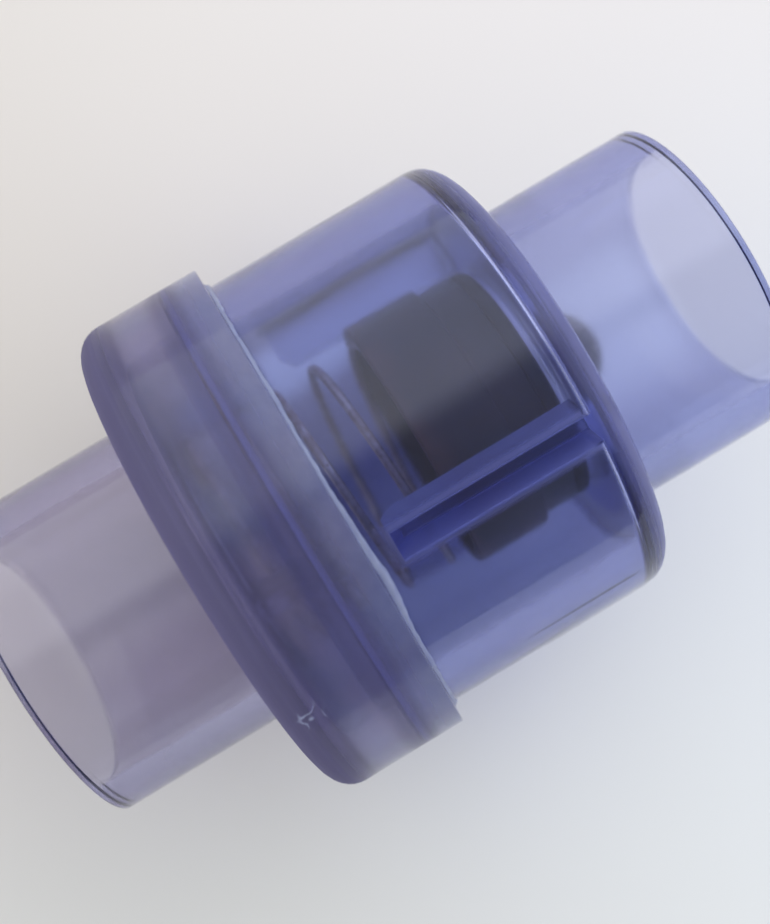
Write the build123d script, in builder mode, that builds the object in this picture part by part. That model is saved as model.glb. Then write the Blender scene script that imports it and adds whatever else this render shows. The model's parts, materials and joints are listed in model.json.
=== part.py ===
"""In-line spring-loaded check valve in clear tinted PVC, as separate pieces, in millimetres.

The valve lies with its axis along X. The chamber and the inlet tube are on the +X side, the collar
and the outlet tube on the -X side, so water flows towards -X and lifts the poppet towards -X. The
origin is on the axis at mid-length. Angles round the axis are counted from +Z towards -Y.
"""

from build123d import *
from math import cos, pi, radians, sin
import os

# Driving sizes: the ends are a 2 in spigot outside and a 1-1/2 in slip socket inside. The socket is
# straight behind its mouth and tapers over its last third, so that the pipe wedges near the stop.
SPIGOT_R = 60.33 / 2
SOCKET_R = 48.50 / 2
SOCKET_STOP_R = 48.10 / 2
SOCKET_DEPTH = 34.9
SOCKET_STRAIGHT = 23.0
TUBE_LENGTH = 34.2
PORT_R = 20.4
COLLAR_R = 95.25 / 2
COLLAR_LENGTH = 25.4
COLLAR_BORE_R = 39.4
CHAMBER_R = 87.5 / 2
CHAMBER_LENGTH = 46.5
CHAMBER_BORE_R = 36.2
END_WALL = 4.2
WEB = 4.6
SHELL_ROUND = 5.2
TUBE_ROOT_ROUND = 0.8
EDGE_CHAMFER = 0.5
MOUTH_CHAMFER = 0.7

# Places along the axis.
INLET_END = (COLLAR_LENGTH + CHAMBER_LENGTH) / 2 + TUBE_LENGTH
OUTLET_END = -INLET_END
CHAMBER_FACE = INLET_END - TUBE_LENGTH
COLLAR_FACE = OUTLET_END + TUBE_LENGTH
SEAM = COLLAR_FACE + COLLAR_LENGTH
WALL_INSIDE = CHAMBER_FACE - END_WALL
WEB_INSIDE = COLLAR_FACE + WEB

# The cemented joint: the chamber's open end sits in a socket in the collar.
JOINT_DEPTH = 7.8
CEMENT_GAP = 0.1
CEMENT_END_GAP = 0.2
BEAD_LENGTH = 1.6
BEAD_HEIGHT = 1.4
SHOULDER = SEAM - JOINT_DEPTH
CHAMBER_END = SHOULDER + CEMENT_END_GAP

# Guide ribs in the chamber and stop fins in the collar, three of each, a third of a turn apart.
RIB_COUNT = 3
RIB_FIRST_ANGLE = 19.2
RIB_INNER_R = 25.3
RIB_ROOT_WIDTH = 4.6
RIB_TIP_WIDTH = 4.4
RIB_LEAD = 3.0
RIB_START = SEAM + 5.0
FIN_OUTER_R = 31.0
FIN_WIDTH = 3.2

# Poppet: a cup with a rubber disc clamped on its face.
SEAT_R = 21.3
SEAT_HEIGHT = 0.8
SEAT_TOP = WALL_INSIDE - SEAT_HEIGHT
DISC_THICKNESS = 3.0
DISC_R = 23.5
DISC_ROUND = 1.8
CUP_R = 24.9
CUP_LENGTH = 21.2
CUP_STEP = 14.2
CUP_FLOOR = 4.0
CUP_EDGE = 0.5
CUP_FACE = SEAT_TOP - DISC_THICKNESS
CUP_RIM = CUP_FACE - CUP_LENGTH
FLOOR_INSIDE = CUP_FACE - CUP_FLOOR
SPRING_LEDGE = CUP_RIM + 12.7
CUP_POCKET_R = 22.9
CUP_CORE_R = 19.4
POPPET_TRAVEL = 18.0
FIN_TOP = CUP_RIM - POPPET_TRAVEL

# Seal retainer, washer and screw, all on the axis.
FLANGE_R = 15.0
FLANGE_THICKNESS = 2.2
NOSE_TIP = SEAT_TOP + 15.5
NOSE_R = 9.0
NOSE_ROOT_R = 11.0
NECK_R = 3.9
NECK_HOLE_R = 4.0
NECK_SHORT = 0.2
SCREW_R = 2.5
SCREW_HOLE_DEPTH = 15.0
SCREW_LENGTH = 14.0
SCREW_HEAD_R = 4.7
SCREW_HEAD_HEIGHT = 3.2
SCREW_HEAD_ROUND = 1.2
RECESS_LENGTH = 5.0
RECESS_WIDTH = 1.2
RECESS_DEPTH = 1.6
WASHER_R = 7.0
WASHER_THICKNESS = 1.0
WASHER_HOLE_R = 2.7

# Spring: plain round wire with one closed coil at each end.
WIRE_R = 0.8
COIL_R = 21.7
ACTIVE_COILS = 5.25
CLOSED_COILS = 1.0
CLOSED_PITCH = 1.75
POINTS_PER_COIL = 12
SPRING_START_ANGLE = 223.0
SPRING_RIM_R = 23.1
SPRING_RIM_THICKNESS = 1.8
SPRING_RIM_HEIGHT = 3.0

AXIS_PLANE = Plane.XY


def rings(solid, x, radius):
    """The circular edges of a turned solid at one place along the axis and of one radius."""
    near = 0.01
    circles = solid.edges().filter_by(GeomType.CIRCLE)
    return circles.filter_by(
        lambda edge: abs(edge.arc_center.X - x) < near and abs(edge.radius - radius) < near
    )


def round_plane(x, angle):
    """A plane across the axis at x, with its own Y pointing outwards at an angle from +Z."""
    outward = Vector(0, -sin(radians(angle)), cos(radians(angle)))
    return Plane(origin=(x, 0, 0), x_dir=outward.cross(Vector(1, 0, 0)), z_dir=(1, 0, 0))


def spoke_angles(count, first):
    """Equal steps round the axis."""
    return [first + turn * 360 / count for turn in range(count)]


def spring_path():
    """Points along the wire's centre, closed at both ends and evenly pitched between them."""
    start = WEB_INSIDE + WIRE_R
    end = SPRING_LEDGE - WIRE_R
    closed_rise = CLOSED_PITCH * CLOSED_COILS
    active_rise = end - start - 2 * closed_rise
    coils = ACTIVE_COILS + 2 * CLOSED_COILS
    steps = round(coils * POINTS_PER_COIL)
    points = []
    for step in range(steps + 1):
        turned = coils * step / steps
        if turned < CLOSED_COILS:
            x = start + CLOSED_PITCH * turned
        elif turned > CLOSED_COILS + ACTIVE_COILS:
            x = end - CLOSED_PITCH * (coils - turned)
        else:
            x = start + closed_rise + active_rise * (turned - CLOSED_COILS) / ACTIVE_COILS
        angle = radians(SPRING_START_ANGLE) + 2 * pi * turned
        points.append((x, -COIL_R * sin(angle), COIL_R * cos(angle)))
    return points


os.makedirs("parts", exist_ok=True)

# Chamber half: inlet tube, end wall with its seat ridge, chamber and guide ribs.
with BuildPart() as chamber_body:
    with BuildSketch(AXIS_PLANE):
        with BuildLine():
            Polyline(
                (INLET_END, SOCKET_R),
                (INLET_END, SPIGOT_R),
                (CHAMBER_FACE, SPIGOT_R),
                (CHAMBER_FACE, CHAMBER_R),
                (CHAMBER_END, CHAMBER_R),
                (CHAMBER_END, CHAMBER_BORE_R),
                (WALL_INSIDE, CHAMBER_BORE_R),
                (WALL_INSIDE, PORT_R),
                (INLET_END - SOCKET_DEPTH, PORT_R),
                (INLET_END - SOCKET_DEPTH, SOCKET_STOP_R),
                (INLET_END - SOCKET_STRAIGHT, SOCKET_R),
                close=True,
            )
        make_face()
    revolve(axis=Axis.X)
    fillet(rings(chamber_body, CHAMBER_FACE, CHAMBER_R), SHELL_ROUND)
    fillet(rings(chamber_body, WALL_INSIDE, CHAMBER_BORE_R), END_WALL / 4)
    fillet(rings(chamber_body, CHAMBER_FACE, SPIGOT_R), TUBE_ROOT_ROUND)
    chamfer(rings(chamber_body, INLET_END, SPIGOT_R), EDGE_CHAMFER)
    chamfer(rings(chamber_body, INLET_END, SOCKET_R), MOUTH_CHAMFER)
    with BuildSketch(AXIS_PLANE):
        with Locations((WALL_INSIDE, SEAT_R)):
            Circle(SEAT_HEIGHT)
    revolve(axis=Axis.X)
    for angle in spoke_angles(RIB_COUNT, RIB_FIRST_ANGLE):
        with BuildSketch(round_plane(RIB_START, angle)):
            with BuildLine():
                Polyline(
                    (-RIB_ROOT_WIDTH / 2, CHAMBER_BORE_R + END_WALL / 4),
                    (-RIB_TIP_WIDTH / 2, RIB_INNER_R),
                    (RIB_TIP_WIDTH / 2, RIB_INNER_R),
                    (RIB_ROOT_WIDTH / 2, CHAMBER_BORE_R + END_WALL / 4),
                    close=True,
                )
            make_face()
        extrude(amount=WALL_INSIDE - RIB_START + END_WALL / 4)
    free_ends = chamber_body.edges().filter_by(
        lambda edge: abs(edge.center().X - RIB_START) < 0.01
        and abs(Vector(0, edge.center().Y, edge.center().Z).length - RIB_INNER_R) < 0.01
    )
    chamfer(free_ends, RIB_LEAD)
chamber_body.part.label = "chamber_body"
export_step(chamber_body.part, "parts/chamber_body.step")

# Outlet half: collar with the joint socket, web with the spring's rim and stop fins, outlet tube.
with BuildPart() as outlet_cap:
    with BuildSketch(AXIS_PLANE):
        with BuildLine():
            Polyline(
                (OUTLET_END, SOCKET_R),
                (OUTLET_END, SPIGOT_R),
                (COLLAR_FACE, SPIGOT_R),
                (COLLAR_FACE, COLLAR_R),
                (SEAM, COLLAR_R),
                (SEAM, CHAMBER_R + CEMENT_GAP),
                (SHOULDER, CHAMBER_R + CEMENT_GAP),
                (SHOULDER, COLLAR_BORE_R),
                (WEB_INSIDE, COLLAR_BORE_R),
                (WEB_INSIDE, PORT_R),
                (OUTLET_END + SOCKET_DEPTH, PORT_R),
                (OUTLET_END + SOCKET_DEPTH, SOCKET_STOP_R),
                (OUTLET_END + SOCKET_STRAIGHT, SOCKET_R),
                close=True,
            )
        make_face()
    revolve(axis=Axis.X)
    fillet(rings(outlet_cap, COLLAR_FACE, COLLAR_R), SHELL_ROUND)
    fillet(rings(outlet_cap, WEB_INSIDE, COLLAR_BORE_R), WEB / 3)
    fillet(rings(outlet_cap, COLLAR_FACE, SPIGOT_R), TUBE_ROOT_ROUND)
    chamfer(rings(outlet_cap, SEAM, COLLAR_R), EDGE_CHAMFER)
    chamfer(rings(outlet_cap, OUTLET_END, SPIGOT_R), EDGE_CHAMFER)
    chamfer(rings(outlet_cap, OUTLET_END, SOCKET_R), MOUTH_CHAMFER)
    for angle in spoke_angles(RIB_COUNT, RIB_FIRST_ANGLE):
        with BuildSketch(round_plane(WEB_INSIDE, angle)):
            with Locations((0, (SPRING_RIM_R + FIN_OUTER_R) / 2)):
                Rectangle(FIN_WIDTH, FIN_OUTER_R - SPRING_RIM_R)
        extrude(amount=FIN_TOP - WEB_INSIDE)
    with BuildSketch(Plane.YZ.offset(WEB_INSIDE)):
        Circle(SPRING_RIM_R + SPRING_RIM_THICKNESS)
        Circle(SPRING_RIM_R, mode=Mode.SUBTRACT)
    extrude(amount=SPRING_RIM_HEIGHT)
    with BuildSketch(Plane.YZ.offset(WEB_INSIDE)):
        Circle(SPRING_RIM_R)
    extrude(amount=FIN_TOP - WEB_INSIDE, mode=Mode.SUBTRACT)
outlet_cap.part.label = "outlet_cap"
export_step(outlet_cap.part, "parts/outlet_cap.step")

# Cured cement: a film round and behind the chamber's end, and the bead squeezed out at the seam.
with BuildPart() as cement_joint:
    with BuildSketch(AXIS_PLANE):
        with BuildLine():
            Polyline(
                (SHOULDER, COLLAR_BORE_R),
                (CHAMBER_END, COLLAR_BORE_R),
                (CHAMBER_END, CHAMBER_R),
                (SEAM + BEAD_LENGTH, CHAMBER_R),
                (SEAM, CHAMBER_R + BEAD_HEIGHT),
                (SEAM, CHAMBER_R + CEMENT_GAP),
                (SHOULDER, CHAMBER_R + CEMENT_GAP),
                close=True,
            )
        make_face()
    revolve(axis=Axis.X)
cement_joint.part.label = "cement_joint"
export_step(cement_joint.part, "parts/cement_joint.step")

# Poppet cup: a wider guide skirt behind, a narrower face in front, and a ledge for the spring.
with BuildPart() as poppet_cup:
    with BuildSketch(AXIS_PLANE):
        with BuildLine():
            Polyline(
                (CUP_RIM, CUP_POCKET_R),
                (CUP_RIM, CUP_R),
                (CUP_RIM + CUP_STEP, CUP_R),
                (CUP_RIM + CUP_STEP, DISC_R),
                (CUP_FACE, DISC_R),
                (CUP_FACE, NECK_HOLE_R),
                (FLOOR_INSIDE, NECK_HOLE_R),
                (FLOOR_INSIDE, CUP_CORE_R),
                (SPRING_LEDGE, CUP_CORE_R),
                (SPRING_LEDGE, CUP_POCKET_R),
                close=True,
            )
        make_face()
    revolve(axis=Axis.X)
    fillet(rings(poppet_cup, FLOOR_INSIDE, CUP_CORE_R), CUP_FLOOR / 4)
    chamfer(rings(poppet_cup, CUP_RIM, CUP_R), CUP_EDGE)
    chamfer(rings(poppet_cup, CUP_RIM, CUP_POCKET_R), CUP_EDGE)
    chamfer(rings(poppet_cup, CUP_RIM + CUP_STEP, CUP_R), CUP_EDGE)
poppet_cup.part.label = "poppet_cup"
export_step(poppet_cup.part, "parts/poppet_cup.step")

# Rubber disc: rests on the seat ridge when the valve is shut.
with BuildPart() as seal_disc:
    with BuildSketch(Plane.YZ.offset(CUP_FACE)):
        Circle(DISC_R)
        Circle(NECK_HOLE_R, mode=Mode.SUBTRACT)
    extrude(amount=DISC_THICKNESS)
    fillet(rings(seal_disc, SEAT_TOP, DISC_R), DISC_ROUND)
seal_disc.part.label = "seal_disc"
export_step(seal_disc.part, "parts/seal_disc.step")

# Seal retainer: a flange on the disc, a rounded nose into the port, and a neck through the cup.
with BuildPart() as seal_retainer:
    with BuildSketch(AXIS_PLANE):
        with BuildLine():
            neck_end = FLOOR_INSIDE + NECK_SHORT
            Polyline(
                (neck_end + SCREW_HOLE_DEPTH, 0),
                (neck_end + SCREW_HOLE_DEPTH, SCREW_R),
                (neck_end, SCREW_R),
                (neck_end, NECK_R),
                (SEAT_TOP, NECK_R),
                (SEAT_TOP, FLANGE_R),
                (SEAT_TOP + FLANGE_THICKNESS, FLANGE_R),
                (SEAT_TOP + FLANGE_THICKNESS, NOSE_ROOT_R),
                (NOSE_TIP - NOSE_R, NOSE_R),
            )
            RadiusArc((NOSE_TIP - NOSE_R, NOSE_R), (NOSE_TIP, 0), NOSE_R)
            Line((NOSE_TIP, 0), (neck_end + SCREW_HOLE_DEPTH, 0))
        make_face()
    revolve(axis=Axis.X)
    fillet(rings(seal_retainer, SEAT_TOP + FLANGE_THICKNESS, FLANGE_R), FLANGE_THICKNESS / 2)
seal_retainer.part.label = "seal_retainer"
export_step(seal_retainer.part, "parts/seal_retainer.step")

# Washer under the screw's head, on the cup's floor.
with BuildPart() as retainer_washer:
    with BuildSketch(Plane.YZ.offset(FLOOR_INSIDE - WASHER_THICKNESS)):
        Circle(WASHER_R)
        Circle(WASHER_HOLE_R, mode=Mode.SUBTRACT)
    extrude(amount=WASHER_THICKNESS)
retainer_washer.part.label = "retainer_washer"
export_step(retainer_washer.part, "parts/retainer_washer.step")

# Pan-head screw with a cross recess, from the cup's side into the retainer's neck.
with BuildPart() as retainer_screw:
    head_base = FLOOR_INSIDE - WASHER_THICKNESS
    head_top = head_base - SCREW_HEAD_HEIGHT
    with BuildSketch(Plane.YZ.offset(head_top)):
        Circle(SCREW_HEAD_R)
    extrude(amount=SCREW_HEAD_HEIGHT)
    fillet(rings(retainer_screw, head_top, SCREW_HEAD_R), SCREW_HEAD_ROUND)
    with BuildSketch(Plane.YZ.offset(head_base)):
        Circle(SCREW_R)
    extrude(amount=SCREW_LENGTH)
    with BuildSketch(Plane.YZ.offset(head_top)):
        Rectangle(RECESS_LENGTH, RECESS_WIDTH)
        Rectangle(RECESS_WIDTH, RECESS_LENGTH)
    extrude(amount=RECESS_DEPTH, mode=Mode.SUBTRACT)
retainer_screw.part.label = "retainer_screw"
export_step(retainer_screw.part, "parts/retainer_screw.step")

# Spring: from the outlet web to the ledge in the cup.
with BuildPart() as spring:
    with BuildLine() as wire:
        Spline(*spring_path())
    with BuildSketch(Plane(origin=wire.line @ 0, z_dir=wire.line % 0)):
        Circle(WIRE_R)
    sweep(path=wire.line)
spring.part.label = "spring"
export_step(spring.part, "parts/spring.step")
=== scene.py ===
"""The look of the check valve: clear tinted shells round a black poppet and its spring.

Every length in this script is in millimetres until a mesh is made, and MM turns it into metres.
The axis of the valve is X. Angles round the axis are counted from +Z towards -Y.
"""

import json
import math

import bmesh
import bpy
from mathutils import Matrix, Vector, noise


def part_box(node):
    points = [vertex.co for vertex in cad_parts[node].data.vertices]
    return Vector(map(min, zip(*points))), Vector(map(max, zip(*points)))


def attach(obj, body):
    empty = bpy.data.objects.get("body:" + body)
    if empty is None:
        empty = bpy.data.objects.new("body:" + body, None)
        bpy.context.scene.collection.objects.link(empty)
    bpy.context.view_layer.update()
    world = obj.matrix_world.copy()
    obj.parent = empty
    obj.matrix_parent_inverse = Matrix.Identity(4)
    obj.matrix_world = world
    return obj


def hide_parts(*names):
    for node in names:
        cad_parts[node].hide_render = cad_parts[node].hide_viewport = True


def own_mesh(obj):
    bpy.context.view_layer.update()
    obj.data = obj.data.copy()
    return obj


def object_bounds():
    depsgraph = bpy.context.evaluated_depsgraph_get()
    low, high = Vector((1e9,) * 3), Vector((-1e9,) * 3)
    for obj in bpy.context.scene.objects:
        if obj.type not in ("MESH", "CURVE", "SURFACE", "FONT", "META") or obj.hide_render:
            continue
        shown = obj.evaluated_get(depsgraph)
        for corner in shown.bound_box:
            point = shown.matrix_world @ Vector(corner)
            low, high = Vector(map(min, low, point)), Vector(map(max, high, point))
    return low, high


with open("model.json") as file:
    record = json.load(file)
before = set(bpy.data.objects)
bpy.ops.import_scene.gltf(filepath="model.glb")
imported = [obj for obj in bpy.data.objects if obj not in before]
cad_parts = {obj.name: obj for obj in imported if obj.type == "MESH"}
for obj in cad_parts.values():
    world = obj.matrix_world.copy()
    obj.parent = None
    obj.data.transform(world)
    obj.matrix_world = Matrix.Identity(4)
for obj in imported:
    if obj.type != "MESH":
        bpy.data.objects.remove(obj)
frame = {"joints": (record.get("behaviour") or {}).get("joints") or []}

CAD_LOW, CAD_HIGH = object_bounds()
MM = 0.001
QUARTER_TURN = math.pi / 2


def span(node):
    """Lowest and highest x of a CAD node."""
    low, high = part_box(node)
    return low.x / MM, high.x / MM


def reach(node):
    """Largest radius of a turned CAD node."""
    low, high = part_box(node)
    return high.z / MM


# Places and radii that the frame gives.
CHAMBER_END, INLET_END = span("chamber_body")
OUTLET_END, SEAM = span("outlet_cap")
SHOULDER, BEAD_END = span("cement_joint")
CUP_RIM, CUP_FACE = span("poppet_cup")
SEAT_TOP = span("seal_disc")[1]
NECK_END, NOSE_TIP = span("seal_retainer")
WASHER_BACK, WASHER_FACE = span("retainer_washer")
SCREW_BACK, SCREW_POINT = span("retainer_screw")
CHAMBER_R = reach("chamber_body")
COLLAR_R = reach("outlet_cap")
CUP_R = reach("poppet_cup")
DISC_R = reach("seal_disc")
FLANGE_R = reach("seal_retainer")
WASHER_R = reach("retainer_washer")
SCREW_HEAD_R = reach("retainer_screw")
COIL_OUTER_R = reach("spring")

# Sizes of the double pipe end and the shells.
TUBE_LENGTH = 34.2
SPIGOT_R = 30.165
SOCKET_R = 24.25
SOCKET_STOP_R = 24.05
SOCKET_DEPTH = 34.9
SOCKET_STRAIGHT = 23.0
PORT_R = 20.4
COLLAR_BORE_R = 39.4
CHAMBER_BORE_R = 36.2
END_WALL = 4.2
WEB = 4.6
SHELL_ROUND = 5.2
CHAMBER_FACE = INLET_END - TUBE_LENGTH
COLLAR_FACE = OUTLET_END + TUBE_LENGTH
WALL_INSIDE = CHAMBER_FACE - END_WALL
WEB_INSIDE = COLLAR_FACE + WEB
SEAT_R = 21.3
SEAT_BASE_HALF = 1.1
SEAT_TOP_HALF = 0.4

# The cement between the halves: the outside of its film, the bead and the ring inside.
FILM_R = CHAMBER_R + 0.1
FILM_INNER_R = CHAMBER_R + 0.02
BEAD_HEIGHT = 1.35
BEAD_STEPS = 6
INNER_RING_LENGTH = 3.4
INNER_RING_STEPS = 8

# Guide ribs, stop fins and the rim that centres the spring.
SPOKES = 3
FIRST_SPOKE = 19.2
SPOKE_ANGLES = [FIRST_SPOKE + k * 360 / SPOKES for k in range(SPOKES)]
RIB_INNER_R = 25.3
RIB_ROOT_WIDTH = 4.6
RIB_TIP_WIDTH = 4.4
RIB_START = SEAM + 5.0
RIB_LEAD = 3.0
RIB_ROUND = 0.7
RIB_FLARE = 1.1
# How far a rib or fin reaches into the wall that it grows from.
RIB_SUNK = 1.0
FIN_OUTER_R = 31.0
FIN_WIDTH = 3.2
TRAVEL = frame["joints"][0]["range_m"][1] / MM
FIN_TOP = CUP_RIM - TRAVEL
SPRING_RIM_R = 23.1
SPRING_RIM_THICKNESS = 1.8
SPRING_RIM_HEIGHT = 3.0

# Poppet and spring.
DISC_ROUND = 1.8
CUP_STEP = CUP_RIM + 14.2
CUP_FLOOR = 4.0
SPRING_LEDGE = CUP_RIM + 12.7
CUP_POCKET_R = 22.9
CUP_CORE_R = 19.4
NOSE_R = 9.0
NOSE_ROOT_R = 11.0
FLANGE_THICKNESS = 2.2
NECK_R = 3.9
NECK_HOLE_R = NECK_R + 0.1
NOSE_HOLE_DEPTH = 15.0
NOSE_STEPS = 14
WASHER_HOLE_R = 2.7
SCREW_R = 2.5
SCREW_DOME = 1.4
SCREW_DOME_STEPS = 8
THREAD_PITCH = 0.8
THREAD_DEPTH = 0.35
RECESS_HALF_LENGTH = 2.5
RECESS_HALF_WIDTH = 0.6
RECESS_DEPTH = 1.6
RECESS_TAPER = 0.75
WIRE_R = 0.8
COIL_R = COIL_OUTER_R - WIRE_R
ACTIVE_COILS = 5.25
CLOSED_COILS = 1.0
CLOSED_PITCH = 1.75
COILS = ACTIVE_COILS + 2 * CLOSED_COILS
STEPS_PER_COIL = 48
WIRE_SIDES = 14
SPRING_START_ANGLE = 223.0

# Mesh fineness.
ROUND_SEGMENTS = 240
CUP_SEGMENTS = 144
SMALL_SEGMENTS = 96
ARC_STEPS = 8
RIB_LEAD_STEPS = 7
RIB_STEPS = 12
RIB_CORNER_STEPS = 4
SUPPORT = 0.2
LONGEST_STEP = 3.0
SHARP_ANGLE = math.radians(32)
TOUCHES_AXIS = 1e-6

# How milky parts of the shells are, and how much light the two lower ribs let straight through.
CORNER_VEIL = 0.6
COLLAR_VEIL = 0.88
JOINT_VEIL = 0.4
RIB_VEIL = 0.5
LIP_VEIL = 0.8
LOWER_RIB_BOND = 0.7

# How much light a clear surface hands on to what lies inside or below it; above 1 it also stands
# for the light that the walls guide there.
OPEN_WAY = 1.2

# Camera: its height above the axis, how far past the seam it aims, how the axis lies in the
# picture, its focal length and lens opening, and the place that is sharpest.
CAMERA_HEIGHT = 250.0
CAMERA_AIM = 12.05
CAMERA_TURN = math.radians(30.8)
LENS = 52.56
APERTURE = 5.0
SHARPEST_X = 20.0
SHARPEST_HEIGHT = 27.0

# What the stained bore of the outlet tube lets through.
BLUSH = (0.985, 0.945, 0.87)
BLUSH_DEEP = (0.955, 0.9, 0.855)
# How much the clear plastic bends light, the length of the rusty deposit on the cup, and half the
# table's width.
PVC_IOR = 1.54
RUST_LENGTH = 6.0
TABLE_HALF = 4000

# The line where the mould's halves met: its angle, half its width in degrees, its height and start.
PARTING_ANGLE = 82.0
PARTING_REACH = 0.9
PARTING_HEIGHT = 0.16
PARTING_START = 8.0
# Blemishes on the collar's outside, each with its spot, reach and colour, and how much they cover.
MARK_COVER = 0.32
COLLAR_MARKS = (
    ((-30.1, -28.3, 38.3), 3.4, (0.36, 0.4, 0.6)),
    ((-18.8, -39.4, 26.7), 0.8, (0.08, 0.08, 0.14)),
    ((-26.8, -44.0, 18.3), 0.7, (0.12, 0.12, 0.2)),
)


# ---------------------------------------------------------------- outlines and meshes


def rounded(corners, steps=ARC_STEPS):
    """Points of a closed outline with rounded corners, each given as (x, r, radius)."""
    points = []
    count = len(corners)
    for i, (x, r, radius) in enumerate(corners):
        here = Vector((x, r))
        before = Vector(corners[i - 1][:2]) - here
        after = Vector(corners[(i + 1) % count][:2]) - here
        turn = before.angle(after)
        if radius <= 0 or abs(turn - math.pi) < 0.02:
            points.append(here)
            continue
        room = 0.48 * min(before.length, after.length)
        tangent = min(radius / math.tan(turn / 2), room)
        used = tangent * math.tan(turn / 2)
        middle = (before.normalized() + after.normalized()).normalized()
        centre = here + middle * (used / math.sin(turn / 2))
        first = here + before.normalized() * tangent - centre
        last = here + after.normalized() * tangent - centre
        for step in range(steps + 1):
            share = step / steps
            spoke = first.slerp(last, share, first) * used
            points.append(centre + spoke.normalized() * used)
    return points


def refined(points):
    """The same closed outline, with a point just inside each end of a long stretch and even steps
    between them.
    """
    made = []
    for i, point in enumerate(points):
        made.append(point)
        there = points[(i + 1) % len(points)]
        length = (there - point).length
        if length < 4 * SUPPORT:
            continue
        step = (there - point) / length
        inner = length - 2 * SUPPORT
        pieces = max(1, math.ceil(inner / LONGEST_STEP))
        for k in range(pieces + 1):
            made.append(point + step * (SUPPORT + inner * k / pieces))
    return made


def mesh_object(name, verts, faces):
    """An object from vertices in millimetres, its faces turned outwards and softly shaded."""
    mesh = bpy.data.meshes.new(name)
    mesh.from_pydata([Vector(v) * MM for v in verts], [], faces)
    mesh.validate()
    tidy_normals(mesh)
    obj = bpy.data.objects.new(name, mesh)
    bpy.context.scene.collection.objects.link(obj)
    return obj


def tidy_normals(mesh):
    """Faces outwards, smooth except across sharp edges."""
    bm = bmesh.new()
    bm.from_mesh(mesh)
    bmesh.ops.recalc_face_normals(bm, faces=bm.faces)
    bm.to_mesh(mesh)
    bm.free()
    mesh.polygons.foreach_set("use_smooth", [True] * len(mesh.polygons))
    mesh.set_sharp_from_angle(angle=SHARP_ANGLE)
    mesh.update()


def lathe(name, outline, segments=ROUND_SEGMENTS, closed=True):
    """Turns an outline of (x, r) points round X. An open outline starts and ends on the axis."""
    verts, rings = [], []
    for x, r in outline:
        if r < TOUCHES_AXIS:
            rings.append([len(verts)] * segments)
            verts.append((x, 0, 0))
            continue
        rings.append(range(len(verts), len(verts) + segments))
        for k in range(segments):
            angle = 2 * math.pi * k / segments
            verts.append((x, -r * math.sin(angle), r * math.cos(angle)))
    faces = []
    for one, two in zip(rings, rings[1:] + rings[:1] if closed else rings[1:]):
        for k in range(segments):
            after = (k + 1) % segments
            corners = [one[k], one[after], two[after], two[k]]
            kept = [c for i, c in enumerate(corners) if c != corners[i - 1]]
            if len(kept) > 2:
                faces.append(kept)
    return mesh_object(name, verts, faces)


def joined(name, objects):
    """One object from several separate ones."""
    verts, faces = [], []
    for obj in objects:
        start = len(verts)
        verts += [v.co / MM for v in obj.data.vertices]
        faces += [[start + i for i in p.vertices] for p in obj.data.polygons]
        bpy.data.objects.remove(obj)
    return mesh_object(name, verts, faces)


def combine(obj, tool, operation):
    """Adds a tool solid to obj ("UNION") or takes it away ("DIFFERENCE"), and uses up the tool."""
    boolean = obj.modifiers.new("combine", "BOOLEAN")
    boolean.operation = operation
    boolean.solver = "EXACT"
    boolean.object = tool
    graph = bpy.context.evaluated_depsgraph_get()
    mesh = bpy.data.meshes.new_from_object(obj.evaluated_get(graph))
    obj.modifiers.clear()
    obj.data = mesh
    bpy.data.objects.remove(tool)
    tidy_normals(mesh)


def radius_of(co):
    """Distance from the axis, in millimetres, of a point in metres."""
    return math.hypot(co.y, co.z) / MM


def angle_of(co):
    """Angle round the axis, in degrees from +Z towards -Y."""
    return math.degrees(math.atan2(-co.y, co.z)) % 360


def push_out(co, distance):
    """Moves a point away from the axis by a distance in millimetres."""
    share = 1 + distance / radius_of(co)
    co.y *= share
    co.z *= share


def parting_line(obj, x_low, x_high, outer_r):
    """Raises the faint line that the mould's halves leave along a shell, on both sides of it."""
    for v in obj.data.vertices:
        off = (angle_of(v.co) - PARTING_ANGLE + 90) % 180 - 90
        outside = x_low < v.co.x / MM < x_high and radius_of(v.co) > outer_r - 0.1
        if outside and abs(off) < PARTING_REACH:
            push_out(v.co, PARTING_HEIGHT)


def mark(obj, name, share):
    """A point attribute for the materials: share(x, r, z) is a number between 0 and 1."""
    mark_points(obj, name, lambda co: share(co.x / MM, radius_of(co), co.z / MM))


def mark_points(obj, name, share):
    """A point attribute for the materials: share(point) is a number between 0 and 1."""
    layer = obj.data.attributes.new(name, "FLOAT", "POINT")
    layer.data.foreach_set("value", [float(share(v.co)) for v in obj.data.vertices])


def ripple(obj, amount, size, where):
    """Moves points in or out by smooth noise, as moulded walls do, where where(x, r) allows."""
    for v in obj.data.vertices:
        r = radius_of(v.co)
        share = where(v.co.x / MM, r)
        if share <= 0:
            continue
        push_out(v.co, noise.noise(v.co / (size * MM)) * amount * share)


def spoke_bar(name, angle, sections):
    """A bar along X made of sections (x, outline of (across, out) points), turned to an angle."""
    verts, faces = [], []
    turn = Matrix.Rotation(math.radians(angle), 3, "X")
    count = len(sections[0][1])
    for x, outline in sections:
        for across, out in outline:
            verts.append(turn @ Vector((x, across, out)))
    for row in range(len(sections) - 1):
        for k in range(count):
            after = (k + 1) % count
            low, high = row * count, (row + 1) * count
            faces.append([low + k, low + after, high + after, high + k])
    faces.append(list(range(count))[::-1])
    faces.append([(len(sections) - 1) * count + k for k in range(count)])
    return mesh_object(name, verts, faces)


# ---------------------------------------------------------------- node graphs


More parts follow.
